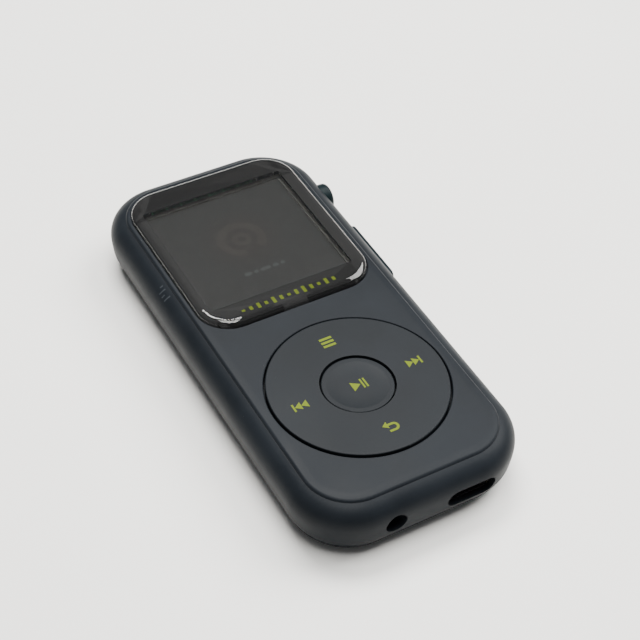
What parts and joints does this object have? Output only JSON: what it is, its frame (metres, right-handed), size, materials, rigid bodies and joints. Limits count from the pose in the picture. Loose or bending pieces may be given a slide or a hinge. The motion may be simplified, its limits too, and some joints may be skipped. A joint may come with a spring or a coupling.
{
  "type": "digital audio player",
  "caption": "Pocket music player with a raised square screen window, a round four-way control pad with a centre button, side keys, headphone jack and USB-C port.",
  "frame": {"origin": "middle of the flat rear face the player lies on", "axes": "+Z out of the screen, +Y from the control pad towards the screen, +X towards the side with the power button"},
  "size_m": [0.0426, 0.089, 0.0126],
  "materials": {
    "shell_plastic": "fine matte moulding, slate grey-blue",
    "cover_plastic": "fine matte moulding, slate grey-blue",
    "pad_plastic": "fine matte moulding, slate grey-blue",
    "power_plastic": "satin, dark teal-grey",
    "rocker_plastic": "satin, mid grey",
    "lens_clear": "polished, rounded edges",
    "mask_black": "black print behind the lens",
    "lime_ink": "printed ink, yellow-green",
    "tape_black": "adhesive foam",
    "lcd_grey": "display glass with polariser, unlit grey",
    "steel_sheet": "thin rolled sheet",
    "backlight_white": "white diffuser stack",
    "flex_amber": "polyimide film",
    "connector_beige": "moulded connector",
    "mat_rubber": "silicone",
    "board_green": "solder-mask green laminate",
    "chip_black": "moulded package",
    "pouch_silver": "laminated pouch foil",
    "lead_red": "insulated wire",
    "socket_black": "moulded socket body",
    "contact_brass": "plated spring strip",
    "usb_steel": "drawn receptacle shell",
    "switch_black": "moulded switch body",
    "screw_steel": "machine screw"
  },
  "bodies": {
    "case": {"front_shell": "shell_plastic", "rear_cover": "cover_plastic", "display_lens": "lens_clear", "lens_mask": "mask_black", "lens_motif": "lime_ink", "lens_tape": "tape_black", "lcd_panel": "lcd_grey", "backlight": "backlight_white", "lcd_frame": "steel_sheet", "lcd_flex": "flex_amber", "flex_connector": "connector_beige", "key_mat": "mat_rubber", "key_domes": "steel_sheet", "main_board": "board_green", "main_chip": "chip_black", "memory_chip": "chip_black", "clock_crystal": "steel_sheet", "battery": "pouch_silver", "battery_tape": "tape_black", "battery_leads": "lead_red", "jack_housing": "socket_black", "jack_contacts": "contact_brass", "usb_shell": "usb_steel", "usb_tongue": "socket_black", "power_switch": "switch_black", "volume_switches": "switch_black", "board_screws": "screw_steel"},
    "button": {"centre_button": "pad_plastic", "button_symbol": "lime_ink"},
    "gimbal": {"ring_gimbal": "steel_sheet"},
    "ring": {"control_ring": "pad_plastic", "ring_symbols": "lime_ink"},
    "power": {"power_button": "power_plastic"},
    "rocker": {"volume_rocker": "rocker_plastic"}
  },
  "joints": [
    {"name": "centre_press", "type": "slide", "parent": "case", "child": "button", "axis": [0, 0, -1], "range_m": [0, 0.0003], "stiffness_N_per_m": 4000},
    {"name": "menu_back_tilt", "type": "hinge", "parent": "case", "child": "gimbal", "pos_m": [0, -0.0198, 0.00953], "axis": [1, 0, 0], "range_deg": [-1.3, 1.3], "stiffness_Nm_per_rad": 0.7},
    {"name": "previous_next_tilt", "type": "hinge", "parent": "gimbal", "child": "ring", "pos_m": [0, -0.0198, 0.0097], "axis": [0, 1, 0], "range_deg": [-1.3, 1.3], "stiffness_Nm_per_rad": 0.7},
    {"name": "power_press", "type": "slide", "parent": "case", "child": "power", "axis": [-1, 0, 0], "range_m": [0, 0.00025], "stiffness_N_per_m": 4000},
    {"name": "volume_rock", "type": "hinge", "parent": "case", "child": "rocker", "pos_m": [0.0175, 0.0111, 0.0073], "axis": [0, 0, 1], "range_deg": [-1.5, 1.5], "stiffness_Nm_per_rad": 0.3}
  ]
}
